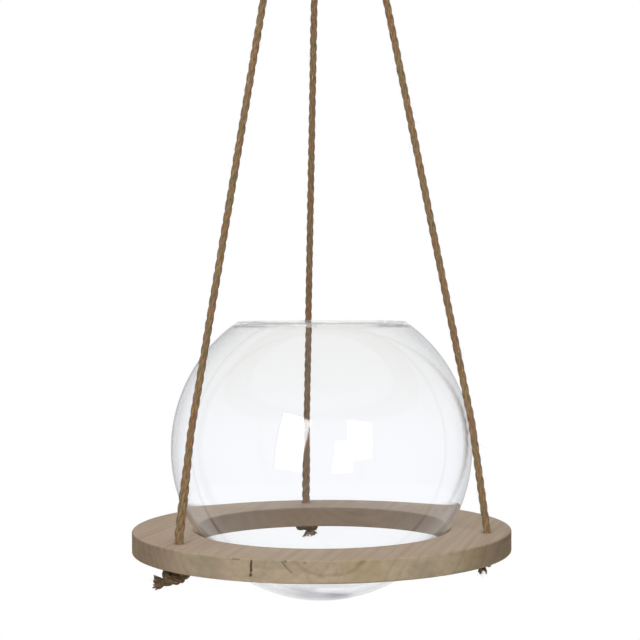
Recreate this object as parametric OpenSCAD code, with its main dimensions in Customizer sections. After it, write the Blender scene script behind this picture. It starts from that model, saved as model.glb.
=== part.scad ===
// Hanging vase: a round glass bowl sits in a flat wooden ring, and three ropes carry the ring.
// The origin is where a ceiling hook bears inside the steel ring at the top. +Z is up, +X is right.

/* [Wooden ring] */
// Width that the wooden ring stands out past the bowl's widest line, all round
board_reach_w = 25.5; // [22:0.5:50]
// Width that the wooden ring reaches in under the bowl's widest line, all round
seat_w = 15; // [10:0.5:25]
// Thickness of the wooden ring
board_t = 14; // [10:1:20]
// Radius of the ring's rounded edges
board_edge_r = 1; // [0.5:0.1:2]
// Distance from the middle of a rope hole to the ring's outer face
hole_edge_w = 15; // [11:0.5:21]
// Clearance between a rope and its hole, all round
hole_gap = 0.4; // [0.3:0.05:0.8]
// Width of the countersink at both ends of a rope hole
hole_chamfer = 0.6; // [0.3:0.1:1]

/* [Glass bowl] */
// Outer diameter of the round bowl
globe_d = 199; // [190:1:210]
// Thickness of the glass
glass_t = 2.6; // [2:0.1:4]
// Thickness of the glass under the flat bottom
base_t = 3.4; // [2.5:0.1:6]
// Diameter of the flat that the bowl can stand on
base_d = 44; // [30:1:56]
// Outer diameter of the bowl's mouth
mouth_d = 112; // [90:1:130]
// Clearance between the bowl and what it rests on
seat_gap = 0.3; // [0.2:0.05:0.6]

/* [Ropes] */
// Diameter of the three ropes
rope_d = 4.5; // [3.5:0.1:5]
// Height of the binding's lower end above the wooden ring
sling_h = 548; // [480:1:640]
// Clearance between a rope and the bowl it leans on
rope_gap = 0.3; // [0.3:0.05:0.6]
// Share of its diameter that the rope keeps inside a tight knot
knot_squeeze_share = 0.75; // [0.7:0.01:0.9]
// Length of the loose end at the left stopper knot
left_tail_h = 7; // [3:0.5:16]
// Length of the loose end at the right stopper knot
right_tail_h = 4; // [3:0.5:16]
// Length of the loose end at the back stopper knot
back_tail_h = 6; // [3:0.5:16]
// Length of the loose ends under the binding
sling_tail_h = 16; // [10:1:30]

/* [Binding] */
// Diameter of the twine that binds the ropes together
twine_d = 2.4; // [2:0.1:3]
// Number of turns of the twine
twine_turns = 10; // [6:1:14]
// Gap from one turn of the twine to the next
twine_gap = 0.5; // [0.45:0.05:1]
// Height from the binding to the middle of the steel ring's lower wire
bight_h = 14; // [12:1:24]

/* [Steel ring] */
// Inner diameter of the steel ring
ring_bore_d = 30; // [26:1:40]
// Diameter of the steel ring's wire
wire_d = 4; // [3:0.5:5]
// Clearance between the wire and the ropes that hang on it
wire_gap = 0.3; // [0.3:0.05:0.6]

/* [Hidden] */
// Sides of the ropes and of the twine
rope_sides = 10;
twine_sides = 6;
// Rings of the twine in one turn
turn_rings = 24;
// How far a cut runs past the faces it opens
cut = 1;
// Colours
steel = [0.72, 0.72, 0.70];
jute = [0.66, 0.53, 0.36];
timber = [0.63, 0.58, 0.51];
glass = [0.85, 0.90, 0.92, 0.35];

// Steel ring: its top inner edge is at the origin
wire_r = wire_d / 2;
ring_r = ring_bore_d / 2 + wire_r;
ring_z = wire_r - ring_r;
wire_z = ring_z - ring_r;

// Bundle of six rope legs inside the binding
rope_r = rope_d / 2;
leg_gap = 0.3;
bundle_r = rope_d + leg_gap;
twine_pitch = twine_d + twine_gap;
twine_path_r = bundle_r + rope_r + leg_gap + twine_d / 2;
binding_top = wire_z - bight_h;
binding_bottom = binding_top - twine_turns * twine_pitch - twine_d;
board_z = binding_bottom - sling_h;

// The bowl's centre lies above the wooden ring's top face by what its seat leaves
board_d = globe_d + 2 * board_reach_w;
board_bore_d = globe_d - 2 * seat_w;
hole_circle_r = board_d / 2 - hole_edge_w;
globe_r = globe_d / 2;
seat_r = board_bore_d / 2 + board_edge_r;
globe_z = board_z - board_edge_r + sqrt(pow(globe_r + board_edge_r + seat_gap, 2) - pow(seat_r, 2));
globe_c = [0, 0, globe_z];
bore_r = globe_r - glass_t;
base_drop = sqrt(pow(globe_r, 2) - pow(base_d / 2, 2));
lip_r = glass_t / 2;
lip_ring_r = mouth_d / 2 - lip_r;
lip_z = sqrt(pow(globe_r - lip_r, 2) - pow(lip_ring_r, 2));

// Each rope: its hole's turn about the axis, the turns of its rising and falling leg in the bundle,
// its place along the steel wire in rope widths, its loose end under the wooden ring, and that end's turn
left = [216, 210, 150, -1, left_tail_h, 200];
right = [345, 330, 30, 1, right_tail_h, 215];
back = [96, 90, 270, 0, back_tail_h, 320];
function hole_turn(rope) = rope[0];
function rise_turn(rope) = rope[1];
function fall_turn(rope) = rope[2];
function wire_place(rope) = rope[3] * (rope_d + leg_gap);
function loose_end(rope) = rope[4];
function tail_turn(rope) = rope[5];

function polar(r, turn, z) = [r * cos(turn), r * sin(turn), z];
function unit(v) = v / norm(v);
function flatten(lists) = [for (l = lists) for (p = l) p];
function last(l) = l[len(l) - 1];

// Points of a circular bend of radius r at corner b, between the straights from a and to c
function bend(a, b, c, r, n) =
    let (u = unit(a - b), v = unit(c - b), half = acos(u * v) / 2, back_off = r / tan(half),
         centre = b + unit(u + v) * r / sin(half), s = b + u * back_off - centre,
         e = b + v * back_off - centre, sweep = acos(unit(s) * unit(e)))
    [for (i = [0 : n]) centre + (sin(sweep * (1 - i / n)) * s + sin(sweep * i / n) * e) / sin(sweep)];

// Points along a straight, no further apart than step, without its first and last point
function straight(a, b, step) =
    let (n = ceil(norm(b - a) / step))
    n < 2 ? [] : [for (i = [1 : n - 1]) a + (b - a) * i / n];

// Fills the long gaps of a route with points
function filled(route, step) =
    [for (i = [0 : len(route) - 2]) each concat([route[i]], straight(route[i], route[i + 1], step)),
     last(route)];

function direction(route, i) = unit(route[min(i + 1, len(route) - 1)] - route[max(i - 1, 0)]);
function square_to(v, t) = unit(v - (v * t) * t);

// Sideways directions carried along a route without twist
function sideways(route, first) =
    [for (i = 0, s = square_to(first, direction(route, 0)); i < len(route);
          i = i + 1, s = i < len(route) ? square_to(s, direction(route, i)) : s) s];

// Tube along a route, whose radius at each point comes from a list
module tube(route, radii, sides, first) {
    side = sideways(route, first);
    points = [for (i = [0 : len(route) - 1]) let (t = direction(route, i), s = side[i], c = cross(t, s))
        for (k = [0 : sides - 1]) route[i] + radii[i] * (cos(360 * k / sides) * s + sin(360 * k / sides) * c)];
    walls = [for (i = [0 : len(route) - 2]) for (k = [0 : sides - 1])
        let (a = i * sides + k, b = i * sides + (k + 1) % sides)
        each [[a, b + sides, b], [a, a + sides, b + sides]]];
    ends = [[for (k = [0 : sides - 1]) k],
            [for (k = [sides - 1 : -1 : 0]) (len(route) - 1) * sides + k]];
    polyhedron(points = points, faces = concat(walls, ends));
}

function even(route, r) = [for (p = route) r];

// Least distance between the middles of two stretches of one route that lie over apart along it
function self_gap(route, skip, d) =
    min([for (i = [0 : len(route) - 1]) for (j = [i + skip : 1 : len(route) - 1])
        norm(route[i] - route[j])]) - d;

/* Stretch of a rope from its knot, up through its hole and over the bowl, to the binding */
joint_z = board_z - board_t / 2;
hole_bend_r = 12;
bundle_bend_r = 10;
rope_step = 2.5 * rope_d;
leave_z = board_z + rope_r;
gather_z = binding_bottom - rope_d;

// Radius of the bend beside the bowl: the bowl's own, or a wider one where the rope clears the bowl
function lean_r(a, b) =
    max(globe_r + rope_r + rope_gap, norm(cross(globe_c - a, unit(b - a))) + rope_gap);

// Where the two straights beside the bowl would cross: the rope bends there round the bowl
function lean_corner(a, b, r) =
    let (p = a - globe_c, q = b - globe_c, u = unit(p), w = square_to(q, u), whole = acos(u * unit(q)),
         low = acos(r / norm(p)), high = whole - acos(r / norm(q)))
    globe_c + r / cos((high - low) / 2) * (cos((low + high) / 2) * u + sin((low + high) / 2) * w);

function rope_route(rope) =
    let (foot = polar(hole_circle_r, hole_turn(rope), joint_z),
         leave = polar(hole_circle_r, hole_turn(rope), leave_z),
         gather = polar(bundle_r, rise_turn(rope), gather_z), top = polar(bundle_r, rise_turn(rope), binding_bottom),
         r = lean_r(leave, gather), corner = lean_corner(leave, gather, r))
    filled(concat([foot], bend(foot, leave, corner, hole_bend_r, 4), bend(leave, corner, gather, r, 4),
        bend(corner, gather, top, bundle_bend_r, 4), [top]), rope_step);

module rope(rope) {
    route = rope_route(rope);
    color(jute) tube(route, even(route, rope_r), rope_sides, polar(1, hole_turn(rope), 0));
}

module rope_left() { rope(left); }
module rope_right() { rope(right); }
module rope_back() { rope(back); }

/* Bight: the rope goes on through the binding, over the steel wire and back down to a loose end */
function wire_rise(x) = ring_r - sqrt(pow(ring_r, 2) - pow(x, 2));
function bight_r(x) = wire_r * ring_r / (ring_r - wire_rise(x)) + wire_rise(x) + wire_gap + rope_r;

function bight_route(rope) =
    let (x = wire_place(rope), r = bight_r(x), out = sin(rise_turn(rope)) < 0 ? -1 : 1,
         foot = polar(bundle_r, rise_turn(rope), binding_bottom),
         rise = polar(bundle_r, rise_turn(rope), binding_top),
         fall = polar(bundle_r, fall_turn(rope), binding_top),
         tail = polar(bundle_r, fall_turn(rope), binding_bottom - sling_tail_h),
         up = [x, out * r, wire_z], down = [x, -out * r, wire_z],
         over = [for (i = [1 : 11]) [x, out * r * cos(15 * i), wire_z + r * sin(15 * i)]])
    filled(concat([foot], bend(foot, rise, up, rope_d, 3), bend(rise, up, up + [0, 0, rope_d], rope_r, 2), over,
        bend(down + [0, 0, rope_d], down, fall, rope_r, 2), bend(down, fall, tail, rope_d, 3), [tail]), rope_step);

module bight(rope) {
    route = bight_route(rope);
    color(jute) tube(route, even(route, rope_r), rope_sides, polar(1, rise_turn(rope), 0));
}

module bight_left() { bight(left); }
module bight_right() { bight(right); }
module bight_back() { bight(back); }

/* Stopper knot: an overhand knot under the wooden ring, as a trefoil opened at one lobe */
knot_r = rope_r * knot_squeeze_share;
knot_gap = 0.5;
// Lobe, depth and squash of the knot
lobe_share = 2.4;
depth_share = 1.5;
squash_share = 0.6;
// Where the rope comes in over the knot and leaves it, out from its middle, and how high it leaves
in_share = -0.65;
out_share = 0.15;
out_height_share = -0.42;
// How steeply the tail falls
tail_fall_share = 1;
// The strands' least spacing in units of the formula
spacing_share = 1.31;
knot_open_turn = 75;
knot_steps = 42;
lead_steps = 6;
lead_pull_share = 0.3;
knot_scale = (2 * knot_r + knot_gap) / spacing_share;

function lobe(t) = knot_scale * [depth_share * -sin(3 * t), cos(t) - lobe_share * cos(2 * t),
    squash_share * (sin(t) + lobe_share * sin(2 * t))];
function eased(a, u, b, v, n) = let (pull = norm(b - a) * lead_pull_share, p = a + u * pull, q = b - v * pull)
    [for (i = [0 : n - 1]) let (t = i / n, s = 1 - t)
        s * s * s * a + 3 * s * s * t * p + 3 * s * t * t * q + t * t * t * b];

knot_loops = [for (i = [0 : knot_steps]) lobe(180 + knot_open_turn + i * (360 - 2 * knot_open_turn) / knot_steps)];
knot_h = max([for (p = knot_loops) p.z]);
knot_in = [0, knot_scale * in_share, knot_h];
knot_out = [0, knot_scale * out_share, knot_h * out_height_share];
tail_way = unit([0, -1, -tail_fall_share]);
knot_body = concat(
    eased(knot_in, [0, 0, -1], knot_loops[0], direction(knot_loops, 0), lead_steps),
    [for (i = [0 : knot_steps - 1]) knot_loops[i]],
    eased(last(knot_loops), direction(knot_loops, knot_steps), knot_out, tail_way, lead_steps),
    [knot_out]);
knot_z = board_z - board_t - rope_gap - knot_r - knot_h;

// The knot under the rope's hole, turned so that its tail leans the rope's own way
function knot_route(rope) =
    let (place = polar(hole_circle_r, hole_turn(rope), knot_z), out = polar(1, tail_turn(rope), 0),
         along = polar(1, tail_turn(rope) + 90, 0),
         body = [for (p = knot_body) place + p.x * along + (knot_in.y - p.y) * out + [0, 0, p.z]],
         foot = polar(hole_circle_r, hole_turn(rope), joint_z),
         tail = last(body) + loose_end(rope) * (tail_way.z * [0, 0, 1] - tail_way.y * out))
    concat([foot, [foot.x, foot.y, board_z - board_t + knot_r]], body, [tail - (tail - last(body)) / 2, tail]);

module stopper_knot(rope) {
    route = knot_route(rope);
    radii = [for (i = [0 : len(route) - 1]) i == 0 || i == len(route) - 1 ? rope_r : knot_r];
    echo(knot_gap_left = self_gap(route, 10, 2 * knot_r));
    color(jute) tube(route, radii, rope_sides, polar(1, tail_turn(rope), 0));
}

module stopper_knot_left() { stopper_knot(left); }
module stopper_knot_right() { stopper_knot(right); }
module stopper_knot_back() { stopper_knot(back); }

/* Binding: one length of twine wound round the six legs */
module binding() {
    count = twine_turns * turn_rings;
    low = binding_bottom + twine_d / 2;
    turns = [for (i = [0 : count]) polar(twine_path_r, 360 * i / turn_rings, low + twine_pitch * i / turn_rings)];
    climb = [0, 0, twine_pitch / (2 * PI * twine_path_r)];
    route = concat([turns[0] - twine_d * unit([0, 1, 0] + climb)], turns,
        [last(turns) + twine_d * unit([0, 1, 0] + climb)]);
    echo(twine_gap_left = self_gap(route, floor(turn_rings / 2), twine_d));
    color(jute) tube(route, even(route, twine_d / 2), twine_sides, [1, 0, 0]);
}

module hanging_ring() {
    color(steel) translate([0, 0, ring_z]) rotate([90, 0, 0])
        rotate_extrude($fn = 96) translate([ring_r, 0]) circle(d = wire_d, $fn = 32);
}

// Section of the wooden ring, with rounded edges
module board_section() {
    inner = board_bore_d / 2;
    width = board_d / 2 - inner;
    translate([inner, board_z - board_t]) {
        translate([board_edge_r, 0]) square([width - 2 * board_edge_r, board_t]);
        translate([0, board_edge_r]) square([width, board_t - 2 * board_edge_r]);
        for (x = [board_edge_r, width - board_edge_r], y = [board_edge_r, board_t - board_edge_r])
            translate([x, y]) circle(r = board_edge_r, $fn = 32);
    }
}

module rope_hole() {
    hole_r = rope_r + hole_gap;
    translate([0, 0, -board_t - cut]) cylinder(r = hole_r, h = board_t + 2 * cut, $fn = 48);
    translate([0, 0, -hole_chamfer]) cylinder(r1 = hole_r, r2 = hole_r + hole_chamfer, h = hole_chamfer, $fn = 48);
    translate([0, 0, -board_t]) cylinder(r1 = hole_r + hole_chamfer, r2 = hole_r, h = hole_chamfer, $fn = 48);
}

module wooden_ring() {
    color(timber) difference() {
        rotate_extrude($fn = 180) board_section();
        for (rope = [left, right, back])
            translate(polar(hole_circle_r, hole_turn(rope), board_z)) rope_hole();
    }
}

module glass_bowl() {
    color(glass) translate(globe_c) {
        difference() {
            sphere(r = globe_r, $fn = 144);
            difference() {
                sphere(r = bore_r, $fn = 144);
                translate([0, 0, -base_drop + base_t - globe_r]) cube(2 * globe_r, center = true);
            }
            translate([0, 0, -base_drop - globe_r]) cube(2 * globe_r, center = true);
            translate([0, 0, lip_z]) cylinder(r = globe_r, h = globe_r, $fn = 96);
        }
        translate([0, 0, lip_z]) rotate_extrude($fn = 144) translate([lip_ring_r, 0]) circle(r = lip_r, $fn = 32);
    }
}

hanging_ring();
binding();
bight_left();
bight_right();
bight_back();
rope_left();
rope_right();
rope_back();
stopper_knot_left();
stopper_knot_right();
stopper_knot_back();
wooden_ring();
glass_bowl();
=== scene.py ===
import math
import random
import bpy
from mathutils import Matrix, Vector


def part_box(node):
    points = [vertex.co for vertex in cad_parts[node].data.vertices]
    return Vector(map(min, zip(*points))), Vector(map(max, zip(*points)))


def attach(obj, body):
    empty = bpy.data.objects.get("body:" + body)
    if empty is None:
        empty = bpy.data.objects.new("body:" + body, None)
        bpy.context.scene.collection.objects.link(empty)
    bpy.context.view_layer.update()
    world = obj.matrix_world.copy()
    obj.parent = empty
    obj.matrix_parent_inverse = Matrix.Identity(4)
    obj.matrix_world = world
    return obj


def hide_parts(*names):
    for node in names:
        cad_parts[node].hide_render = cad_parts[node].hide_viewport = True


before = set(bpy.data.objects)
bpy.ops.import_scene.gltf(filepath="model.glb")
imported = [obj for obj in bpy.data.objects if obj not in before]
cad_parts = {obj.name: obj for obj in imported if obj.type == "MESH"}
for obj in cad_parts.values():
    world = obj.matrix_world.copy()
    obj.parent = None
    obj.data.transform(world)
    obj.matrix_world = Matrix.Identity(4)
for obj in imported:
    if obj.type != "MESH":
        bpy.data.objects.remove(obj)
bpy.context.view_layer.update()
print("frame loaded")

# metres, in the frame's own place: the hook bears at the origin and +Z is up
mm = 0.001
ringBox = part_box("wooden_ring")
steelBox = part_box("hanging_ring")
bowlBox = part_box("glass_bowl")
boardTop = ringBox[1][2]
boardThick = ringBox[1][2] - ringBox[0][2]
boardRadius = ringBox[1][0]
wireRadius = steelBox[1][1]
ringRadius = steelBox[1][0] - wireRadius
wireHeight = steelBox[0][2] + wireRadius

view = {
    "place": (-5.2 * mm, -963.0 * mm, 150.3 * mm),    # the lens, from the middle of the board's top
    "turn": 1.26,              # degrees to the right of straight back
    "tilt": -0.775,            # degrees over the level
    "roll": -0.15,
    "lens": 81.71,             # millimetres, as the sensor
    "sensor": 36,
    "shiftX": -0.0399,
    "reach": 50,
}


def makeCamera():
    data = bpy.data.cameras.new("photoCamera")
    data.lens = view["lens"]
    data.sensor_width = view["sensor"]
    data.shift_x = view["shiftX"]
    data.clip_end = view["reach"]
    camera = bpy.data.objects.new("photoCamera", data)
    bpy.context.collection.objects.link(camera)
    camera.location = Vector(view["place"]) + Vector((0, 0, boardTop))
    turn, tilt, roll = (math.radians(view[key]) for key in ("turn", "tilt", "roll"))
    ahead = Vector((math.sin(turn) * math.cos(tilt), math.cos(turn) * math.cos(tilt), math.sin(tilt)))
    level = ahead.to_track_quat("-Z", "Y").to_matrix()
    camera.rotation_euler = (level @ Matrix.Rotation(roll, 3, "Z")).to_euler()
    bpy.context.scene.camera = camera


makeCamera()
bpy.context.scene.view_settings.view_transform = "Standard"
print("camera placed")

# Routes of the ropes, the knots and the twine

bowl = {
    "radius": bowlBox[1][0],
    "baseRadius": 22 * mm,
}
bowlMiddle = Vector((0, 0, bowlBox[0][2] + math.sqrt(bowl["radius"] ** 2 - bowl["baseRadius"] ** 2)))

rope = {
    "diameter": 4.5 * mm,
    "holeCircle": 110 * mm,    # radius of the circle of holes
    "bowlGap": 0.3 * mm,
    "legGap": 0.3 * mm,
    "wireGap": 0.6 * mm,
    "holeBend": 12 * mm,       # how round the rope bends over its hole
    "gatherBend": 10 * mm,     # and where it joins the bundle
    "looseEnd": 16 * mm,
    "lay": 23 * mm,            # length of one whole turn of a strand
    "swellOver": 18 * mm,      # length over which it swells towards its foot
}
# each rope: its hole, its rising and its falling leg in the bundle, its place on the wire, its loose
# end under the board and that end's turn, and how much thicker it is near its foot; then its knot:
# how far it is pulled up flat, how far it is drawn aside, and how far its strands fill the gaps that
# the plain solid leaves
ropes = {
    "left": {"hole": 216, "rising": 210, "falling": 150, "place": -1, "loose": 7 * mm, "tailTurn": 200,
             "swell": 0.22, "flat": 0.5, "aside": Vector((-5.4 * mm, 0, 0)), "fullness": 1.5},
    "right": {"hole": 345, "rising": 330, "falling": 30, "place": 1, "loose": 4 * mm, "tailTurn": 215,
              "swell": 0.03, "flat": 0.32, "aside": Vector((-4.1 * mm, 0, 0.2 * mm)), "fullness": 1.36},
    "back": {"hole": 96, "rising": 90, "falling": 270, "place": 0, "loose": 6 * mm, "tailTurn": 320,
             "swell": 0.2, "flat": 0.3, "aside": Vector((3.7 * mm, 0, 0)), "fullness": 1.3},
}
# frayed end of each knot: lean is how it turns from the tail's own way, neck how much of the tail is
# still twisted
frayed = {
    "left": {"lean": Vector((-0.5, -0.1, 0.62)), "length": 7.6 * mm, "spread": 0.62,
             "neck": 1.0, "strands": 5, "yarns": 26, "fibres": 40},
    "right": {"lean": Vector((0.7, -0.2, -0.6)), "length": 6 * mm, "spread": 0.34,
              "neck": 0.9, "strands": 1, "yarns": 8, "fibres": 50},
    "back": {"lean": Vector((-0.25, 0, -0.3)), "length": 6 * mm, "spread": 0.85,
             "neck": 0.3, "strands": 2, "yarns": 26, "fibres": 120},
}
binding = {
    "twine": 2.4 * mm,
    "gap": 0.5 * mm,
    "turns": 10,
    "turnSteps": 48,
    "drop": 14 * mm,           # from the middle of the steel wire down to the first turn
    "lay": 8 * mm,
}
# the stopper knot: a trefoil opened at one lobe, as an overhand knot
knot = {
    "squeeze": 0.75,
    "gap": 0.5 * mm,
    "lobe": 2.4,
    "depth": 1.5,
    "squash": 0.6,
    "inOffset": -0.65,
    "outOffset": 0.15,
    "outHeight": -0.42,
    "fall": 1.0,
    "spacing": 1.31,
    "open": 75,
    "steps": 84,
    "easeSteps": 12,
    "pull": 0.3,
}
ropeRadius = rope["diameter"] / 2
bundleRadius = rope["diameter"] + rope["legGap"]
twinePitch = binding["twine"] + binding["gap"]
bindingTop = wireHeight - binding["drop"]
bindingBottom = bindingTop - binding["turns"] * twinePitch - binding["twine"]
bindingMiddle = (bindingTop + bindingBottom) / 2


def polar(radius, turn, height):
    angle = math.radians(turn)
    return Vector((radius * math.cos(angle), radius * math.sin(angle), height))


def bendPoints(before, corner, after, radius, count):
    # a round bend of that radius at the corner
    u = (before - corner).normalized()
    v = (after - corner).normalized()
    half = u.angle(v) / 2
    middle = corner + (u + v).normalized() * (radius / math.sin(half))
    start = corner + u * (radius / math.tan(half)) - middle
    end = corner + v * (radius / math.tan(half)) - middle
    sweep = start.angle(end)
    points = []
    for i in range(count + 1):
        t = i / count
        spoke = start * math.sin(sweep * (1 - t)) + end * math.sin(sweep * t)
        points.append(middle + spoke / math.sin(sweep))
    return points


def leanCorner(low, high, radius):
    # where the two straights beside the bowl would cross
    p = low - bowlMiddle
    q = high - bowlMiddle
    u = p.normalized()
    w = (q - u * q.dot(u)).normalized()
    first = math.acos(radius / p.length)
    last = p.angle(q) - math.acos(radius / q.length)
    way = u * math.cos((first + last) / 2) + w * math.sin((first + last) / 2)
    return bowlMiddle + way * (radius / math.cos((last - first) / 2))


def evenly(points, step):
    # the same line with points about a step apart
    lengths = [0]
    for a, b in zip(points, points[1:]):
        lengths.append(lengths[-1] + (b - a).length)
    count = max(2, round(lengths[-1] / step))
    found = []
    k = 0
    for i in range(count + 1):
        s = lengths[-1] * i / count
        while k < len(points) - 2 and lengths[k + 1] < s:
            k += 1
        t = (s - lengths[k]) / (lengths[k + 1] - lengths[k])
        found.append(points[k].lerp(points[k + 1], min(max(t, 0), 1)))
    return found


def eased(a, u, b, v, count):
    # a smooth way from a to b that leaves along u and arrives along v
    pull = (b - a).length * knot["pull"]
    p = a + u * pull
    q = b - v * pull
    points = []
    for i in range(count):
        t = i / count
        s = 1 - t
        points.append(a * s ** 3 + p * (3 * s * s * t) + q * (3 * s * t * t) + b * t ** 3)
    return points


def ropeRoute(name):
    # from inside the board, round the bowl and up into the binding
    one = ropes[name]
    foot = polar(rope["holeCircle"], one["hole"], boardTop - boardThick / 2)
    leave = polar(rope["holeCircle"], one["hole"], boardTop + ropeRadius)
    gather = polar(bundleRadius, one["rising"], bindingBottom - rope["diameter"])
    top = polar(bundleRadius, one["rising"], bindingMiddle)
    lean = bowl["radius"] + ropeRadius + rope["bowlGap"]
    corner = leanCorner(leave, gather, lean)
    points = [foot] + bendPoints(foot, leave, corner, rope["holeBend"], 8)
    points += bendPoints(leave, corner, gather, lean, 8)
    points += bendPoints(corner, gather, top, rope["gatherBend"], 8) + [top]
    return points


def bightRoute(name):
    # from the binding over the steel wire and back down to the loose end
    one = ropes[name]
    x = one["place"] * (rope["diameter"] + rope["legGap"])
    rise = ringRadius - math.sqrt(ringRadius ** 2 - x ** 2)
    r = wireRadius * ringRadius / (ringRadius - rise) + rise + rope["wireGap"] + ropeRadius
    out = -1 if math.sin(math.radians(one["rising"])) < 0 else 1
    foot = polar(bundleRadius, one["rising"], bindingMiddle)
    low = polar(bundleRadius, one["rising"], bindingTop)
    fall = polar(bundleRadius, one["falling"], bindingTop)
    tail = polar(bundleRadius, one["falling"], bindingBottom - rope["looseEnd"])
    up = Vector((x, out * r, wireHeight))
    down = Vector((x, -out * r, wireHeight))
    lift = Vector((0, 0, rope["diameter"]))
    points = [foot] + bendPoints(foot, low, up, rope["diameter"], 5)
    points += bendPoints(low, up, up + lift, ropeRadius, 4)
    for i in range(1, 24):
        angle = math.pi * i / 24
        points.append(Vector((x, out * r * math.cos(angle), wireHeight + r * math.sin(angle))))
    points += bendPoints(down + lift, down, fall, ropeRadius, 4)
    points += bendPoints(down, fall, tail, rope["diameter"], 5) + [tail]
    return points


def knotRoute(name):
    # the stopper knot under the board, and the way its tail points
    one = ropes[name]
    thick = ropeRadius * knot["squeeze"]
    scale = (2 * thick + knot["gap"]) / knot["spacing"]
    loops = []
    for i in range(knot["steps"] + 1):
        t = math.radians(180 + knot["open"] + i * (360 - 2 * knot["open"]) / knot["steps"])
        loops.append(Vector((
            -knot["depth"] * math.sin(3 * t),
            math.cos(t) - knot["lobe"] * math.cos(2 * t),
            knot["squash"] * (math.sin(t) + knot["lobe"] * math.sin(2 * t)))) * scale)
    height = max(p.z for p in loops)
    start = Vector((0, scale * knot["inOffset"], height))
    end = Vector((0, scale * knot["outOffset"], height * knot["outHeight"]))
    tailWay = Vector((0, -1, -knot["fall"])).normalized()
    body = eased(start, Vector((0, 0, -1)), loops[0], (loops[1] - loops[0]).normalized(), knot["easeSteps"])
    body += loops[:-1]
    body += eased(loops[-1], (loops[-1] - loops[-2]).normalized(), end, tailWay, knot["easeSteps"]) + [end]
    middle = polar(rope["holeCircle"], one["hole"], boardTop - boardThick - rope["bowlGap"] - thick - height)
    out = polar(1, one["tailTurn"], 0)
    along = polar(1, one["tailTurn"] + 90, 0)
    points = [polar(rope["holeCircle"], one["hole"], boardTop - boardThick / 2),
              polar(rope["holeCircle"], one["hole"], boardTop - boardThick + thick)]
    aside = one["aside"] - Vector((0, 0, thick * (one["fullness"] - 1)))
    for i, p in enumerate(body):
        drop = Vector((0, 0, height + (p.z - height) * one["flat"]))
        drawn = min(1, i / knot["easeSteps"])
        points.append(middle + along * p.x + out * (start.y - p.y) + drop + aside * drawn)
    way = Vector((0, 0, tailWay.z)) - out * tailWay.y
    turned = (way + frayed[name]["lean"]).normalized()
    neck = one["loose"] / 2 * frayed[name]["neck"]
    points.append(points[-1] + way * neck)
    points.append(points[-1] + turned * neck)
    return points, turned


def bindingRoute():
    radius = bundleRadius + ropeRadius + rope["legGap"] + binding["twine"] / 2
    low = bindingBottom + binding["twine"] / 2
    climb = Vector((0, 1, twinePitch / (2 * math.pi * radius))).normalized()
    steps = binding["turnSteps"]
    turns = []
    for i in range(binding["turns"] * steps + 1):
        turns.append(polar(radius, 360 * i / steps, low + twinePitch * i / steps))
    return [turns[0] - climb * binding["twine"]] + turns + [turns[-1] + climb * binding["twine"]]


# Meshes of twisted strands, yarns and fibres

anySide = Vector((0.31, 0.59, 0.74))    # where a line's first side starts to look from
twist = {
    "strand": {3: 0.322, 2: 0.29},      # a strand's radius, as a share of the rope's thickness
    "throw": {3: 0.224, 2: 0.215},      # how far its middle stands off the rope's
    "waves": 5,                         # waves in which it wanders, and how much it does
    "turnWander": 0.12,
    "throwWander": 0.06,
    "radiusWander": 0.09,
}


def wayAt(points, i):
    return (points[min(i + 1, len(points) - 1)] - points[max(i - 1, 0)]).normalized()


def sideways(points):
    # directions square to a line, carried along it without twist
    found = []
    side = anySide
    for i in range(len(points)):
        way = wayAt(points, i)
        side = (side - way * side.dot(way)).normalized()
        found.append((way, side, way.cross(side)))
    return found


def facing(points, outs):
    # directions square to a line, each turned to the one given
    found = []
    for i, out in enumerate(outs):
        way = wayAt(points, i)
        side = (out - way * out.dot(way)).normalized()
        found.append((way, side, way.cross(side)))
    return found


def anyWay(rng):
    return Vector((rng.uniform(-1, 1), rng.uniform(-1, 1), rng.uniform(-1, 1)))


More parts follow.
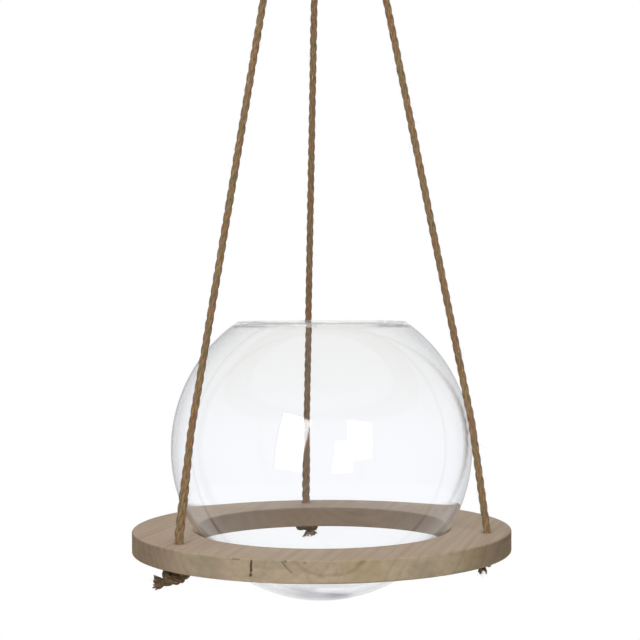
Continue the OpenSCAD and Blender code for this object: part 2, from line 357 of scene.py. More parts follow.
class Bundle:
    # verts, faces and a UV map of many tubes: u runs along a tube in metres, v once round it
    def __init__(self):
        self.verts = []
        self.faces = []
        self.uvs = []

    def skin(self, points, radii, frames, sides, uAt, endV):
        # a tube with closed ends, whose seam is turned away from the frame's side
        base = len(self.verts)
        runs = [uAt]
        for a, b in zip(points, points[1:]):
            runs.append(runs[-1] + (b - a).length)
        for point, radius, (way, side, cross) in zip(points, radii, frames):
            for k in range(sides):
                angle = 2 * math.pi * k / sides - math.pi
                self.verts.append(point + (side * math.cos(angle) + cross * math.sin(angle)) * radius)
        for i in range(len(points) - 1):
            for k in range(sides):
                a = base + i * sides + k
                b = base + i * sides + (k + 1) % sides
                self.faces.append((a, b, b + sides, a + sides))
                self.uvs += [(runs[i], k / sides), (runs[i], (k + 1) / sides),
                             (runs[i + 1], (k + 1) / sides), (runs[i + 1], k / sides)]
        last = base + (len(points) - 1) * sides
        self.faces.append(tuple(base + k for k in range(sides - 1, -1, -1)))
        self.uvs += [(runs[0], endV)] * sides
        self.faces.append(tuple(last + k for k in range(sides)))
        self.uvs += [(runs[-1], endV)] * sides

    def tube(self, points, radii, sides, uAt):
        self.skin(points, radii, sideways(points), sides, uAt, 0)

    def strands(self, points, diameter, lay, count, sides, step, seed, swell=0):
        # twisted strands round a line: each swells and wanders a little, as spun jute does; swell is
        # how much thicker they are beside the bowl's lower half
        rng = random.Random(seed)
        line = evenly(points, step)
        frames = sideways(line)
        strandRadius = diameter * twist["strand"][count]
        throw = diameter * twist["throw"][count]
        for k in range(count):
            waves = [(rng.uniform(0.6, 3.2) / diameter, rng.uniform(0, 6.28), rng.uniform(0.4, 1))
                     for _ in range(twist["waves"])]
            path = []
            radii = []
            outs = []
            for i, point in enumerate(line):
                way, side, cross = frames[i]
                run = step * i
                wander = sum(w * math.sin(f * run + p) for f, p, w in waves) / twist["waves"]
                angle = 2 * math.pi * (run / lay + k / count) + twist["turnWander"] * wander
                outward = side * math.cos(angle) + cross * math.sin(angle)
                full = 1 + swell * min(1, max(0, (bowlMiddle.z - point.z) / rope["swellOver"]))
                path.append(point + outward * throw * full * (1 + twist["throwWander"] * wander))
                radii.append(strandRadius * full * (1 + twist["radiusWander"] * wander))
                outs.append(outward)
            self.skin(path, radii, facing(path, outs), sides, k * 1.7 + seed * 0.37, 0.5)

    def piece(self, name, material):
        mesh = bpy.data.meshes.new(name)
        mesh.from_pydata(self.verts, [], self.faces)
        layer = mesh.uv_layers.new(name="strand")
        flat = [c for uv in self.uvs for c in uv]
        layer.data.foreach_set("uv", flat)
        mesh.validate()
        mesh.update()
        mesh.shade_smooth()
        mesh.materials.append(material)
        made = bpy.data.objects.new(name, mesh)
        bpy.context.collection.objects.link(made)
        return made


cutEnd = {"length": 4 * mm, "spread": 0.25, "strands": 3, "yarns": 15, "fibres": 60}
fray = {
    "strand": 1.25 * mm,       # radii
    "yarn": 0.68 * mm,
    "fibre": 0.06 * mm,
    "strandSides": 10,
    "yarnSides": 7,
    "fibreSides": 3,
    "strandSteps": 13,
    "yarnSteps": 7,
    "strandOff": 0.42,         # how far they start from the rope's middle, as a share of its radius
    "yarnOff": 0.66,
    "sunk": 0.15,              # how much of each is still in the rope
    "tip": (0.72, 0.28),       # where a strand starts to round off, and the length that takes
}


def fannedEnd(bundle, start, way, fan, seed):
    # an untwisted rope end: strands that part, and yarns and finer fibres among them
    rng = random.Random(seed)
    side = way.cross(Vector((0.2, 0.3, 0.9))).normalized()
    cross = way.cross(side)
    tipFrom, tipLong = fray["tip"]
    for k in range(fan["strands"]):
        angle = 2 * math.pi * (k + rng.uniform(-0.2, 0.2)) / fan["strands"]
        off = side * math.cos(angle) + cross * math.sin(angle)
        reach = fan["length"] * rng.uniform(0.7, 1.04)
        leave = start + off * (ropeRadius * fray["strandOff"])
        points = []
        radii = []
        for i in range(fray["strandSteps"] + 1):
            t = i / fray["strandSteps"]
            swing = off * (fan["spread"] * rng.uniform(0.62, 0.72) * t ** 1.3)
            points.append(leave + way * (reach * (t - fray["sunk"])) + swing * reach)
            lump = 1 + 0.14 * math.sin(9 * t + 2 * k)
            taper = math.sqrt(max(0.12, 1 - max(0, (t - tipFrom) / tipLong) ** 2))
            radii.append(fray["strand"] * lump * taper)
        bundle.tube(points, radii, fray["strandSides"], k * 0.031)
    for k in range(fan["yarns"] + fan["fibres"]):
        fine = k >= fan["yarns"]
        angle = rng.uniform(0, 2 * math.pi)
        out = math.sqrt(rng.random())
        off = side * math.cos(angle) + cross * math.sin(angle)
        reach = fan["length"] * (rng.uniform(0.55, 1.12) if fine else rng.uniform(0.72, 1.0))
        swing = off * (fan["spread"] * out * rng.uniform(0.7, 1.3))
        curl = anyWay(rng) * (0.3 if fine else 0.1)
        leave = start + off * (out * ropeRadius * fray["yarnOff"])
        points = []
        radii = []
        for i in range(fray["yarnSteps"] + 1):
            t = i / fray["yarnSteps"]
            points.append(leave + way * (reach * (t - fray["sunk"])) + (swing * t ** 1.4 + curl * t * t) * reach)
            if fine:
                radii.append(fray["fibre"] * (1 - 0.6 * t))
            else:
                radii.append(fray["yarn"] * (1.0 - 0.35 * t * t + 0.14 * math.sin(11 * t + k)))
        bundle.tube(points, radii, fray["fibreSides"] if fine else fray["yarnSides"], k * 0.013)


fuzz = {
    "perMetre": 420,
    "radius": 0.045 * mm,
    "length": (1.5 * mm, 5.6 * mm),
    "steps": 4,
    "off": 0.44,               # where a fibre leaves, as a share of the rope's thickness
    "curl": 0.5,
    "taper": 0.7,
}


def fuzzOn(bundle, points, diameter, seed, share=1.0):
    # loose fibres that stand off the rope
    rng = random.Random(seed)
    line = evenly(points, 1 * mm)
    frames = sideways(line)
    radii = [fuzz["radius"] * (1 - fuzz["taper"] * k / fuzz["steps"]) for k in range(fuzz["steps"] + 1)]
    for _ in range(int(fuzz["perMetre"] * share * len(line) * mm)):
        i = rng.randrange(2, len(line) - 6)
        way, side, cross = frames[i]
        angle = rng.uniform(0, 2 * math.pi)
        off = side * math.cos(angle) + cross * math.sin(angle)
        reach = rng.uniform(*fuzz["length"])
        lean = way * rng.choice((-1, 1)) * rng.uniform(0.5, 1.6) + off * rng.uniform(0.25, 1.0)
        lean.normalize()
        curl = anyWay(rng) * fuzz["curl"]
        hair = []
        for k in range(fuzz["steps"] + 1):
            t = k / fuzz["steps"]
            hair.append(line[i] + off * diameter * fuzz["off"] + (lean * t + curl * t * t) * reach)
        bundle.tube(hair, radii, 3, angle)


# Shader nodes


class Tone:
    # a socket, on which the usual operators add Math nodes
    def __init__(self, paint, socket):
        self.paint = paint
        self.socket = socket

    def maths(self, operation, first, second=0.0):
        return self.paint.add("ShaderNodeMath", {"operation": operation}, {0: first, 1: second})

    def __add__(self, other):
        return self.maths("ADD", self, other)

    def __radd__(self, other):
        return self.maths("ADD", other, self)

    def __sub__(self, other):
        return self.maths("SUBTRACT", self, other)

    def __rsub__(self, other):
        return self.maths("SUBTRACT", other, self)

    def __mul__(self, other):
        return self.maths("MULTIPLY", self, other)

    def __rmul__(self, other):
        return self.maths("MULTIPLY", other, self)

    def __truediv__(self, other):
        return self.maths("DIVIDE", self, other)

    def __abs__(self):
        return self.maths("ABSOLUTE", self)

    def sine(self):
        return self.maths("SINE", self)

    def fraction(self):
        return self.maths("FRACT", self)

    def root(self):
        return self.maths("SQRT", self)

    def most(self, other):
        return self.maths("MAXIMUM", self, other)

    def over(self, limit):
        return self.maths("GREATER_THAN", self, limit)

    def ramp(self, low, high):
        # 0 below low, 1 above high, smooth between; a low over the high turns it round
        settings = {"interpolation_type": "SMOOTHSTEP", "clamp": True}
        inputs = {0: self, 1: min(low, high), 2: max(low, high), 3: 0.0, 4: 1.0}
        found = self.paint.add("ShaderNodeMapRange", settings, inputs)
        return 1 - found if low > high else found


class Paint:
    # one material, or the world, whose nodes are added by one method
    def __init__(self, name, tree=None):
        if tree is None:
            self.material = bpy.data.materials.new(name)
            self.material.use_nodes = True
            tree = self.material.node_tree
        self.tree = tree
        self.tree.nodes.clear()

    def add(self, kind, settings=None, inputs=None, out=0):
        made = self.tree.nodes.new(kind)
        for key, value in (settings or {}).items():
            setattr(made, key, value)
        for key, value in (inputs or {}).items():
            socket = made.inputs[key]
            if isinstance(value, Tone):
                self.tree.links.new(value.socket, socket)
            else:
                socket.default_value = value
        return Tone(self, made.outputs[out]) if made.outputs else made

    def place(self):
        return self.add("ShaderNodeTexCoord", out="Object")

    def ray(self, name):
        return self.add("ShaderNodeLightPath", out=name)

    def mix(self, factor, first, second):
        return self.add("ShaderNodeMix", {"data_type": "RGBA"}, {0: factor, 6: first, 7: second}, 2)

    def blend(self, factor, first, second):
        return self.add("ShaderNodeMixShader", None, {0: factor, 1: first, 2: second})

    def seeThrough(self, tint):
        return self.add("ShaderNodeBsdfTransparent", None, {"Color": tint})

    def scaled(self, vector, by):
        return self.add("ShaderNodeVectorMath", {"operation": "MULTIPLY"}, {0: vector, 1: by})

    def split(self, vector):
        made = self.tree.nodes.new("ShaderNodeSeparateXYZ")
        self.tree.links.new(vector.socket, made.inputs[0])
        return [Tone(self, made.outputs[i]) for i in range(3)]

    def joined(self, x, y, z=0.0):
        return self.add("ShaderNodeCombineXYZ", None, {0: x, 1: y, 2: z})

    def noise(self, vector, scale, detail, rough):
        inputs = {"Vector": vector, "Scale": scale, "Detail": detail, "Roughness": rough}
        return self.add("ShaderNodeTexNoise", None, inputs)

    def bump(self, height, distance, strength):
        return self.add("ShaderNodeBump", None, {"Height": height, "Distance": distance, "Strength": strength})

    def finish(self, inputs):
        shader = self.add("ShaderNodeBsdfPrincipled", None, inputs)
        self.add("ShaderNodeOutputMaterial", None, {0: shader})
        return self.material


def colour(red, green, blue):
    # a colour as a picture shows it, 0 to 255
    found = []
    for value in (red, green, blue):
        c = value / 255
        found.append(c / 12.92 if c <= 0.04045 else ((c + 0.055) / 1.055) ** 2.4)
    return (*found, 1)


jute = {
    "base": colour(146, 120, 87),
    "dark": colour(84, 64, 43),
    "red": colour(148, 112, 82),
    "olive": colour(124, 114, 84),
    "gold": colour(182, 152, 106),
    "deepBrown": colour(58, 40, 26),
    "paleGrey": colour(176, 172, 146),
    "shade": colour(30, 24, 18),
    "yarns": 4,                # yarns seen round one strand
    "yarnLay": 14 * mm,
    "rough": 0.8,
    "gloss": 0.04,
    "sheen": 0.12,
    "relief": 0.4 * mm,
}


def juteMaterial(name, shade=0.0, deepBrown=0.0, paleGrey=0.0):
    paint = Paint(name)
    along, around, _ = paint.split(paint.add("ShaderNodeUVMap", {"uv_map": "strand"}))
    turned = around + along * (1 / jute["yarnLay"])
    wobble = paint.noise(paint.joined(along * 90, around * 2), 1.0, 2.0, 0.5) - 0.5
    yarn = ((turned + wobble * 0.25) * (2 * math.pi * jute["yarns"])).sine() * 0.5 + 0.5
    fibre = paint.noise(paint.joined(along * 300, (around + along * 40) * 44), 1.0, 4.0, 0.65)
    tuft = paint.noise(paint.joined(along * 110, (around + along * 30) * 7), 1.0, 3.0, 0.6)
    place = paint.place()
    patch = paint.noise(place, 130.0, 3.0, 0.6)
    drift = paint.noise(place, 60.0, 3.0, 0.6)
    base = paint.mix(drift.ramp(0.46, 0.62), jute["base"], jute["red"])
    base = paint.mix(patch.ramp(0.5, 0.66) * 0.8, base, jute["olive"])
    # painted shade in the grooves between the yarns
    base = paint.mix(yarn.ramp(0.42, 0.0) * 0.5, base, jute["dark"])
    base = paint.mix(fibre.ramp(0.5, 0.32) * 0.6, base, jute["dark"])
    base = paint.mix(tuft.ramp(0.56, 0.72) * 0.55, base, jute["gold"])
    # shade and deepBrown darken a whole copy of the jute: painted shade on the knots under the board, and
    # slightly darker loose fibres
    for key, share in (("deepBrown", deepBrown), ("paleGrey", paleGrey), ("shade", shade)):
        if share:
            base = paint.mix(share, base, jute[key])
    return paint.finish({
        "Base Color": base,
        "Roughness": jute["rough"],
        "Specular IOR Level": jute["gloss"],
        "Sheen Weight": jute["sheen"],
        "Sheen Roughness": 0.6,
        "Normal": paint.bump(yarn * 0.6 + fibre * 0.5 + tuft * 0.4, jute["relief"], 1.0),
    })


wood = {
    "base": colour(166, 150, 132),
    "late": colour(138, 121, 104),
    "pale": colour(173, 156, 131),
    "rosy": colour(158, 138, 122),
    "khaki": colour(158, 143, 106),
    "stain": colour(126, 119, 100),
    "endShade": colour(88, 64, 48),
    "dark": colour(84, 68, 54),
    "boreShade": colour(90, 63, 34),
    "slit": colour(62, 42, 24),
    "pith": (5 * mm, 26 * mm),     # x of the tree's middle, and its height over the board's top
    "turn": 15,                    # degrees from straight front to back
    "ring": 6.5 * mm,              # spacing of the year rings
    "boreShadeFrom": (86.2 * mm, 84.9 * mm),
    "holeShade": (4.2 * mm, 2.9 * mm),
    # on the front, with heights from the top: arched grain by its x, height, half width and half height,
    # a smudge likewise, and short dark marks by x, height, length, degrees from level and darkness
    "arc": (3.5 * mm, 9.4 * mm, 24 * mm, 18.4 * mm),
    "smudge": (22 * mm, -1.6 * mm, 5 * mm, 2.4 * mm),
    "ticks": ((-22.8 * mm, -2.6 * mm, 4.6 * mm, -50, 0.7), (-19.7 * mm, -6.0 * mm, 4.6 * mm, -44, 0.5),
              (-22 * mm, -0.9 * mm, 1.6 * mm, -10, 0.9), (-10.8 * mm, -1.2 * mm, 2.2 * mm, 0, 0.6),
              (-51 * mm, -1 * mm, 5 * mm, 0, 0.5), (-18 * mm, -1.2 * mm, 2.4 * mm, 15, 0.3)),
    "crack": (-41.8 * mm, -0.2 * mm, -11 * mm),         # x, and its upper and lower end under the top
    "gloss": 0.06,
    "relief": 0.3 * mm,
}


def frontMarks(paint, base, x, under, ripple, rim, front):
    # what shows on the front alone: arched grain and a smudge on the edge, and short dark marks
    heart, drop, halfWide, deep = wood["arc"]
    ax = (x - heart + ripple * 0.004) * (1 / halfWide)
    az = (under - drop + ripple * 0.003) * (1 / deep)
    bow = (ax * ax + az * az).root()
    arc = abs(bow - 1.0).ramp(0.09, 0.01) * 0.27 + abs(bow - 1.26).ramp(0.12, 0.02) * 0.1
    arc = arc + bow.ramp(1.0, 0.9) * 0.06
    base = paint.mix(arc * rim * front, base, wood["dark"])
    spotX, spotZ, spotWide, spotHigh = wood["smudge"]
    sx = (x - spotX) * (1 / spotWide)
    sz = (under - spotZ + ripple * 0.004) * (1 / spotHigh)
    base = paint.mix((sx * sx + sz * sz).root().ramp(1.0, 0.2) * rim * front * 0.22, base, wood["dark"])
    for tickX, tickZ, tickLong, tickTurn, tickDark in wood["ticks"]:
        cosine, sine = math.cos(math.radians(tickTurn)), math.sin(math.radians(tickTurn))
        du = (x - tickX) * cosine + (under - tickZ) * sine
        dv = (under - tickZ) * cosine - (x - tickX) * sine + ripple * 0.001
        tick = abs(du).ramp(tickLong / 2 + 0.4 * mm, tickLong / 2 - 0.6 * mm)
        tick = tick * abs(dv).ramp(0.95 * mm, 0.15 * mm)
        base = paint.mix(tick * tickDark * front, base, wood["dark"])
    return base


def frontCrack(paint, x, y, z, under):
    # a drying crack that narrows downwards and closes once on its way
    crackX, crackHigh, crackLow = wood["crack"]
    bend = paint.noise(paint.joined(z * 260, 0.0, 0.0), 1.0, 2.0, 0.6) - 0.5
    down = (crackHigh - under) * (1 / (crackHigh - crackLow))
    offset = abs(x - crackX + down * 0.0006 + bend * 0.0012) - down * 0.0003
    slit = offset.ramp(0.75 * mm, 0.35 * mm) * under.ramp(crackLow, crackLow + 1.0 * mm)
    slit = slit * under.ramp(crackHigh, crackHigh - 1.2 * mm) * y.ramp(-0.11, -0.112)
    return slit * (1 - abs(down - 0.74).ramp(0.06, 0.02) * 0.6)


def woodMaterial():
    paint = Paint("weatheredWood")
    place = paint.place()
    x, y, z = paint.split(place)
    out = (x * x + y * y).root()
    under = z - boardTop
    rim = out.ramp(boardRadius - 0.9 * mm, boardRadius - 0.05 * mm)

    # year rings round the pith, as the board is sawn from the log
    turn = (0, 0, math.radians(wood["turn"]))
    lx, ly, lz = paint.split(paint.add("ShaderNodeMapping", None, {"Vector": place, "Rotation": turn}))
    sway = paint.noise(paint.joined(lx * 11, ly * 4, lz * 14), 1.0, 2.0, 0.5) - 0.5
    ripple = paint.noise(paint.joined(lx * 70, ly * 16, lz * 90), 1.0, 2.0, 0.5) - 0.5
    px = lx - wood["pith"][0] + sway * 0.045
    pz = lz - (boardTop + wood["pith"][1]) + ripple * 0.003
    radius = (px * px + pz * pz).root()
    phase = (radius * (1 / wood["ring"])).fraction()
    soft = phase * phase * phase.ramp(1.0, 0.94)
    which = paint.noise(paint.joined(radius * 75, lx * 12, ly * 5), 1.0, 2.0, 0.5)
    line = phase.ramp(0.7, 0.93) * phase.ramp(1.0, 0.95) * which.ramp(0.42, 0.66)
    streak = paint.noise(paint.joined(lx * 1500, ly * 24, lz * 1500), 1.0, 3.0, 0.6)
    coarse = paint.noise(paint.joined(lx * 240, ly * 7, lz * 240), 1.0, 3.0, 0.55)

    # broad tones, stronger on the outer edge
    broad = paint.noise(place, 9.0, 2.0, 0.5)
    shade = paint.noise(paint.scaled(place, (34, 34, 20)), 1.0, 2.0, 0.5)
    cloud = paint.noise(paint.scaled(place, (22, 22, 60)), 1.0, 4.0, 0.6)
    side = abs(x).ramp(72 * mm, 112 * mm)
    plain = abs(x).ramp(24 * mm, 50 * mm) * rim
    base = paint.mix(broad.ramp(0.38, 0.64) * 0.75, wood["base"], wood["rosy"])
    base = paint.mix(rim * 0.85, base, wood["pale"])
    base = paint.mix(shade.ramp(0.5, 0.62) * (rim * 0.4 + 0.1), base, wood["khaki"])
    base = paint.mix(shade.ramp(0.46, 0.36) * (rim * 0.3 + 0.14), base, wood["rosy"])
    base = paint.mix(coarse.ramp(0.45, 0.75) * 0.44, base, wood["late"])
    base = paint.mix(soft * 0.26, base, wood["late"])
    base = paint.mix(line * (rim * 0.12 + 0.09) * (1 - plain * 0.62), base, wood["dark"])
    # painted shade: the board's left and right ends darker, on the top as well as the outer edge, as the light
    # comes from the front
    base = paint.mix(side * (rim * 0.42 + 0.1), base, wood["endShade"])
    base = frontMarks(paint, base, x, under, ripple, rim, y.ramp(-0.1, -0.11))
    base = paint.mix(streak.ramp(0.56, 0.82) * 0.15, base, wood["dark"])
    base = paint.mix(cloud.ramp(0.5, 0.68) * (rim * 0.42 + 0.12), base, wood["stain"])
    # painted shade on the inner wall of the bore, darker and browner
    base = paint.mix(out.ramp(*wood["boreShadeFrom"]) * 0.49, base, wood["boreShade"])
    for one in ropes.values():
        at = polar(rope["holeCircle"], one["hole"], 0)
        dx = x - at.x
        dy = y - at.y
        near = (dx * dx + dy * dy).root() + (coarse - 0.5) * 0.0015
        base = paint.mix(near.ramp(*wood["holeShade"]) * 0.6, base, wood["dark"])
    slit = frontCrack(paint, x, y, z, under)
    # painted shade inside the open crack
    base = paint.mix(slit * 0.92, base, wood["slit"])
    height = streak * -0.35 + line * -0.3 + coarse * -0.2 + slit * -3.0
    return paint.finish({
        "Base Color": base,
        "Roughness": 0.56 + coarse * 0.2,
        "Specular IOR Level": wood["gloss"],
        "Normal": paint.bump(height, wood["relief"], 0.5),
    })


steel = {
    "base": colour(142, 140, 135),
    "worn": colour(104, 100, 92),
    "rough": 0.24,
    "relief": 0.03 * mm,
}


def steelMaterial():
    paint = Paint("drawnSteel")
    place = paint.place()
    smudge = paint.noise(place, 180.0, 4.0, 0.6)
    fine = paint.noise(place, 2600.0, 2.0, 0.5)
    x, y, z = paint.split(place)
    up = z + ringRadius - wireRadius
    inside = (x * x + up * up).root()
    rub = inside.ramp(ringRadius - wireRadius * 0.6, ringRadius - wireRadius)    # where the ropes polish it
    return paint.finish({
        "Base Color": paint.mix(smudge.ramp(0.45, 0.7) * 0.6, steel["base"], steel["worn"]),
        "Metallic": 1.0,
        "Roughness": steel["rough"] + smudge * 0.16 - rub * 0.08,
        "Normal": paint.bump(fine + smudge * 0.5, steel["relief"], 0.4),
    })


glass = {
    "clear": (0.975, 0.982, 0.996, 1),
    "smoke": (0.945, 0.948, 0.946, 1),     # towards the mouth
    "edge": (0.8, 0.81, 0.83, 1),          # painted shade: dark outlines where the wall is seen along its length
    "wedgeShade": (0.33, 0.33, 0.37, 1),        # painted shade: a grey wedge low on the front, for the dark seen through the thick foot
    "wedgeTop": (12.4 * mm, 10.2 * mm),    # its upper edge over the foot, and how that rises to the left
    "wedgeRise": 0.185,
    "deep": (0.68, 0.68, 0.69, 1),         # light left after some bounces inside the wall
    "shadow": (0.95, 0.955, 0.96, 1),
    "gloss": (0.4, 0.4, 0.42, 1),          # what a reflection keeps on old, handled glass
    "ior": 1.41,
    "lip": 0.78,                           # share of light that passes straight through the lip
}
fewBounces = 1.5                           # a Glossy Depth over this has bounced at least twice


def glassMaterial():
    paint = Paint("blownGlass")
    facingAway = paint.add("ShaderNodeLayerWeight", None, {"Blend": 0.5}, "Facing")
    place = paint.place()
    x, y, z = paint.split(place)
    foot, mouth = bowlBox[0][2], bowlBox[1][2]
    edge = facingAway.ramp(0.35, 1.0)
    side = z.ramp(foot + 12 * mm, foot + 55 * mm) * z.ramp(mouth - 3 * mm, mouth - 6 * mm)
    tint = paint.mix(z.ramp(bowlMiddle.z, bowlMiddle.z + 70 * mm), glass["clear"], glass["smoke"])
    # painted shade: darker glass along the bowl's outline
    tint = paint.mix(edge * edge * side, tint, glass["edge"])
    # painted shade low on the front of the foot
    wedgeShade = (z - foot + x * glass["wedgeRise"]).ramp(*glass["wedgeTop"]) * y.ramp(-0.002, -0.026)
    wedgeShade = wedgeShade * x.ramp(-32 * mm, -8 * mm) * x.ramp(24 * mm, 13 * mm)
    tint = paint.mix(wedgeShade * (x.ramp(-2 * mm, 10 * mm) * 0.45 + 0.55), tint, glass["wedgeShade"])
    body = paint.add("ShaderNodeBsdfPrincipled", None, {
        "Base Color": tint,
        "Roughness": 0.0,
        "IOR": glass["ior"],
        "Transmission Weight": 1.0,
        "Specular Tint": glass["gloss"],
        "Normal": paint.bump(paint.noise(place, 9.0, 1.0, 0.4), 0.6 * mm, 0.25),
    })
    rimZ = bowlMiddle.z + (mouth - bowlMiddle.z) * bowlShape["crown"]
    lip = z.ramp(rimZ - 4 * mm, rimZ - 2 * mm) * glass["lip"]
    body = paint.blend(lip, body, paint.seeThrough(glass["smoke"]))
    # light led along the wall would need dozens of bounces, so after two it goes straight on
    body = paint.blend(paint.ray("Glossy Depth").over(fewBounces), body, paint.seeThrough(glass["deep"]))
    body = paint.blend(paint.ray("Is Shadow Ray"), body, paint.seeThrough(glass["shadow"]))
    paint.add("ShaderNodeOutputMaterial", None, {0: body})
    return paint.material


def dress(node, material):
    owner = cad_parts[node]
    for slot in owner.material_slots:
        slot.material = material
    if not owner.material_slots:
        owner.data.materials.append(material)


ropeMaterial = juteMaterial("juteRope")
# the knot and tail copies are darkened as painted shade under the board; the fray copy, a little darker, dresses
# the loose fibres
knotMaterial = juteMaterial("juteKnot", shade=0.18, deepBrown=0.34)
frayMaterial = juteMaterial("juteFray", shade=0.06, deepBrown=0.12)
tailMaterial = juteMaterial("juteTail", shade=0.16, deepBrown=0.3)
paleGreyMaterial = juteMaterial("jutePaleGrey", paleGrey=0.4)
twineMaterial = juteMaterial("juteTwine")
# each knot's body and frayed end; the back knot's body is a little lighter and its fray paler and greyer,
# painted light where the bore lets light reach it
knotLooks = {
    "left": (knotMaterial, tailMaterial),
    "right": (knotMaterial, knotMaterial),
    "back": (tailMaterial, paleGreyMaterial),
}
dress("wooden_ring", woodMaterial())
dress("hanging_ring", steelMaterial())
print("materials made")

# The bowl

bowlShape = {
    "segments": 160,
    "rings": 112,
    "wall": 2.6 * mm,
    "mouth": 54.7 * mm,        # radius of the middle of the lip
    "crown": 1.017,            # how far the upper half is drawn up
    "lip": 1.2 * mm,           # rounding of the lip
    "lipSteps": 5,
    "sharp": 50,               # degrees at which an edge is rounded
}


def makeBowl():
    # a blown round bowl: a sphere cut open at the mouth and flat at the foot, then given its wall
    lip = bowlShape["wall"] / 2
    mouthHeight = bowlMiddle.z + math.sqrt((bowl["radius"] - lip) ** 2 - bowlShape["mouth"] ** 2) + lip
    bpy.ops.object.select_all(action="DESELECT")
    bpy.ops.mesh.primitive_uv_sphere_add(segments=bowlShape["segments"], ring_count=bowlShape["rings"],
                                         radius=bowl["radius"], location=bowlMiddle)
    made = bpy.context.object
    made.name = "blownBowl"
    bpy.ops.object.transform_apply(location=True, rotation=True, scale=True)
    bpy.ops.object.mode_set(mode="EDIT")
    bpy.ops.mesh.select_all(action="SELECT")
    bpy.ops.mesh.bisect(plane_co=(0, 0, mouthHeight), plane_no=(0, 0, 1), clear_outer=True)
    bpy.ops.mesh.select_all(action="SELECT")
    bpy.ops.mesh.bisect(plane_co=(0, 0, bowlBox[0][2]), plane_no=(0, 0, 1), clear_inner=True, use_fill=True)
    bpy.ops.mesh.select_all(action="SELECT")
    bpy.ops.mesh.normals_make_consistent(inside=False)
    bpy.ops.mesh.select_mode(type="VERT")
    bpy.ops.mesh.select_all(action="DESELECT")
    bpy.ops.object.mode_set(mode="OBJECT")
    for vert in made.data.vertices:
        vert.select = vert.co.z > bowlMiddle.z
    bpy.ops.object.mode_set(mode="EDIT")
    bpy.ops.transform.resize(value=(1, 1, bowlShape["crown"]), center_override=bowlMiddle)
    bpy.ops.object.mode_set(mode="OBJECT")
    wall = made.modifiers.new("wall", "SOLIDIFY")
    wall.thickness = bowlShape["wall"]
    wall.offset = -1
    wall.use_even_offset = True
    bpy.ops.object.modifier_apply(modifier="wall")
    bpy.ops.object.mode_set(mode="EDIT")
    bpy.ops.mesh.select_mode(type="EDGE")
    bpy.ops.mesh.select_all(action="DESELECT")
    bpy.ops.mesh.edges_select_sharp(sharpness=math.radians(bowlShape["sharp"]))
    bpy.ops.mesh.bevel(offset=bowlShape["lip"], segments=bowlShape["lipSteps"], affect="EDGES")
    bpy.ops.object.mode_set(mode="OBJECT")
    bpy.ops.object.shade_smooth()
    made.data.materials.append(glassMaterial())
    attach(made, "bowl")
    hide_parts("glass_bowl")


makeBowl()
print("bowl made")

# Ropes, knots and binding

strandMesh = {
    "ropeSides": 14,
    "ropeStep": 0.7 * mm,
    "knotStep": 0.5 * mm,
    "knotLay": 0.9,            # a knot's strands are twisted tighter by this
    "twineSides": 10,
    "twineStep": 0.5 * mm,
    "pathStep": 2 * mm,
}
# fibres of the knots and of the twine, against those of a plain rope, and the knots' own thickness
tailFuzz = {"share": 2.2, "thick": 0.9}
twineFuzz = 0.5
# where each part's own random draws start; the ropes count on from there
seeds = {"rope": 11, "fibres": 21, "knot": 31, "tail": 41, "tailFibres": 51, "bight": 61, "loose": 71,
         "looseFibres": 81, "twine": 91, "twineFibres": 92}


def lengthOf(points):
    return sum((b - a).length for a, b in zip(points, points[1:]))


def placed(piece, slotName, *nodes):
    # all rope and twine rides on the sling
    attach(piece, "sling")
    if nodes:
        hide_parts(*nodes)
    return piece


def makeRope(number, name):
    sides = strandMesh["ropeSides"]
    way = ropeRoute(name)[::-1]
    run = Bundle()
    run.strands(way, rope["diameter"], rope["lay"], 3, sides, strandMesh["ropeStep"], seeds["rope"] + number,
                ropes[name]["swell"])
    runPiece = placed(run.piece(name + "Rope", ropeMaterial), "rope", "rope_" + name)

    hairs = Bundle()
    fuzzOn(hairs, way[8:-4], rope["diameter"], seeds["fibres"] + number)
    hairPiece = placed(hairs.piece(name + "RopeFibres", frayMaterial), "rope")

    points, tailWay = knotRoute(name)
    tight = Bundle()
    tight.strands(points, rope["diameter"] * knot["squeeze"] * ropes[name]["fullness"],
                  rope["lay"] * strandMesh["knotLay"], 3, sides, strandMesh["knotStep"], seeds["knot"] + number)
    knotPiece = placed(tight.piece(name + "Knot", knotLooks[name][0]), "rope", "stopper_knot_" + name)

    tail = Bundle()
    fannedEnd(tail, points[-1], tailWay, frayed[name], seeds["tail"] + number)
    fuzzOn(tail, points[6:], rope["diameter"] * tailFuzz["thick"], seeds["tailFibres"] + number,
           tailFuzz["share"])
    tailPiece = placed(tail.piece(name + "KnotTail", knotLooks[name][1]), "rope")

    bight = bightRoute(name)
    over = Bundle()
    over.strands(bight, rope["diameter"], rope["lay"], 3, sides, strandMesh["ropeStep"],
                 seeds["bight"] + number)
    placed(over.piece(name + "Bight", ropeMaterial), "rope", "bight_" + name)
    loose = Bundle()
    fannedEnd(loose, bight[-1], Vector((0, 0, -1)), cutEnd, seeds["loose"] + number)
    fuzzOn(loose, bight[12:], rope["diameter"], seeds["looseFibres"] + number)
    placed(loose.piece(name + "BightTail", frayMaterial), "rope")

    lengthOf(way)
    evenly(way, strandMesh["pathStep"])
    print(name, "rope made,", round(lengthOf(way), 4), "m")


def makeBinding():
    route = bindingRoute()
    wound = Bundle()
    wound.strands(route, binding["twine"], binding["lay"], 2, strandMesh["twineSides"], strandMesh["twineStep"],
                  seeds["twine"])
    placed(wound.piece("bindingTwine", twineMaterial), "twine", "binding")
    hairs = Bundle()
    fuzzOn(hairs, route, binding["twine"], seeds["twineFibres"], twineFuzz)
    placed(hairs.piece("bindingFibres", frayMaterial), "twine")


for number, name in enumerate(ropes):
    makeRope(number, name)
makeBinding()
print("binding made")

# Floor, light and background

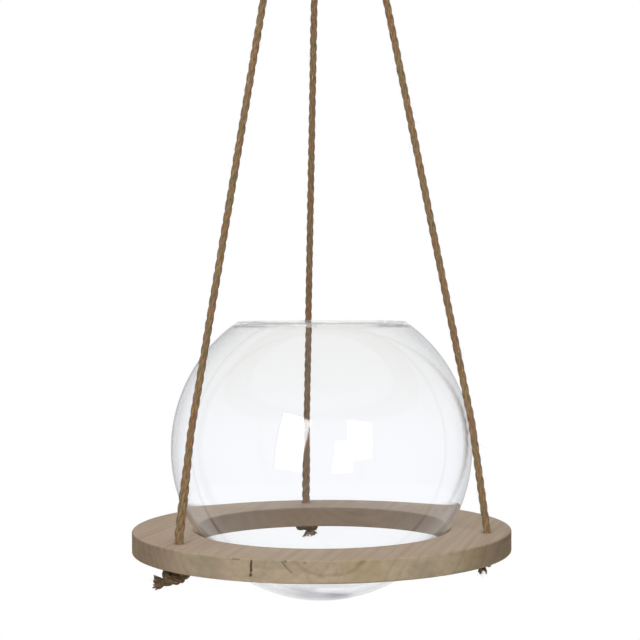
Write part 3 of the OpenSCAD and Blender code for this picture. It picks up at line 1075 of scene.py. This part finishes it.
studio = {
    "floorDrop": 0.55,         # under the bowl
    "floorRadius": 1.85,
    "floorColour": colour(236, 235, 233),
    "floorGlow": 0.55,         # how far the floor goes to white, as the eye sees it
    "whiteFrom": 0.3,          # from here outwards it goes all the way
    "skyLight": 0.14,
    # each lamp: its place, size and power
    "lamps": {
        "leftSoftbox": ((-0.9, -1.85, 0.2), 0.7, 19),
        "rightSoftbox": ((0.9, -1.85, 0.2), 0.7, 19),
        "backSoftbox": ((0.5, 2.1, 0.0), 0.9, 10),
        "ceiling": ((-0.35, 0.1, 1.3), 1.6, 27),
    },
    # what the glass and the steel reflect
    "roomInFront": (0.07, 0.075, 0.1, 1),
    "roomBehind": (0.6, 0.6, 0.62, 1),
    "roomAbove": (0.04, 0.04, 0.04, 1),
    # windows far behind the camera, as glass and steel reflect them: left side and how it leans,
    # right side and how it leans, low side, high side and how it falls, each as a slope from
    # straight ahead, and its light
    "panes": {
        "leftWindow": (-0.68, 0.1, -0.238, 0.216, -0.21, 0.407, 0.395, 58),
        "rightWindow": (0.325, 0.05, 0.755, 0.13, -0.07, 0.5, 0, 14),
        "lowWindow": (0.14, 0.15, 0.435, 0.11, -0.235, 0.19, 0, 14),
    },
    "paneEdge": 0.02,
}


def seenStraight(paint):
    # rays that see the background itself: from the camera, through glass and off gloss
    seen = paint.ray("Is Camera Ray")
    return seen.most(paint.ray("Is Transmission Ray")).most(paint.ray("Is Glossy Ray"))


def makeFloor():
    bpy.ops.object.select_all(action="DESELECT")
    bpy.ops.mesh.primitive_circle_add(vertices=96, radius=studio["floorRadius"], fill_type="NGON",
                                      location=(0, 0, 0))
    floor = bpy.context.object
    floor.name = "floor"
    floor.data.transform(Matrix.Translation((0, 0, bowlBox[0][2] - studio["floorDrop"])))
    paint = Paint("paleFloor")
    body = paint.add("ShaderNodeBsdfPrincipled", None, {"Base Color": studio["floorColour"], "Roughness": 0.9})
    white = paint.add("ShaderNodeEmission", None, {"Color": (1, 1, 1, 1), "Strength": 1.0})
    x, y, z = paint.split(paint.place())
    away = (x * x + y * y).root().ramp(studio["whiteFrom"], studio["floorRadius"] * 0.9)
    glow = studio["floorGlow"] + away * (1 - studio["floorGlow"])
    paint.add("ShaderNodeOutputMaterial", None, {0: paint.blend(seenStraight(paint) * glow, body, white)})
    floor.data.materials.append(paint.material)


def makeWorld():
    world = bpy.data.worlds.new("studio")
    bpy.context.scene.world = world
    world.use_nodes = True
    paint = Paint("studio", world.node_tree)
    x, y, z = paint.split(paint.add("ShaderNodeTexCoord", out="Generated"))
    shown = paint.mix(y.ramp(0.5, -0.1), studio["roomBehind"], studio["roomInFront"])
    shown = paint.mix(z.ramp(0.15, 0.75), shown, studio["roomAbove"])
    across = x / (0 - y)
    up = z / (0 - y)
    soft = studio["paneEdge"]
    for left, leftLean, right, rightLean, low, high, fall, light in studio["panes"].values():
        fromLeft = (across - up * leftLean).ramp(left, left + soft)
        fromRight = (across - up * rightLean).ramp(right, right - soft)
        pane = fromLeft * fromRight * up.ramp(low, low + soft) * (up + across * fall).ramp(high, high - soft)
        shown = paint.mix(pane * y.ramp(-0.05, -0.1), shown, (light, light, light, 1))
    # smooth glass calls the light that it lets through glossy too, so that is left out
    reflected = paint.ray("Is Glossy Ray") * (1 - paint.ray("Is Transmission Ray"))
    sky = paint.mix(reflected * (1 - paint.ray("Glossy Depth").over(fewBounces)), (1, 1, 1, 1), shown)
    strength = seenStraight(paint) * (1 - studio["skyLight"]) + studio["skyLight"]
    background = paint.add("ShaderNodeBackground", None, {"Color": sky, "Strength": strength})
    paint.add("ShaderNodeOutputWorld", None, {0: background})


def makeLamp(name, place, size, power):
    # a soft lamp that aims at the board and doesn't show in the glass
    data = bpy.data.lights.new(name, "AREA")
    data.size = size
    data.energy = power
    lamp = bpy.data.objects.new(name, data)
    lamp.visible_glossy = False
    lamp.visible_transmission = False
    bpy.context.collection.objects.link(lamp)
    lamp.location = place
    lamp.rotation_euler = (Vector((0, 0, boardTop)) - Vector(place)).to_track_quat("-Z", "Y").to_euler()


makeFloor()
makeWorld()
for name, (place, size, power) in studio["lamps"].items():
    makeLamp(name, place, size, power)
print("floor, world and lamps made")
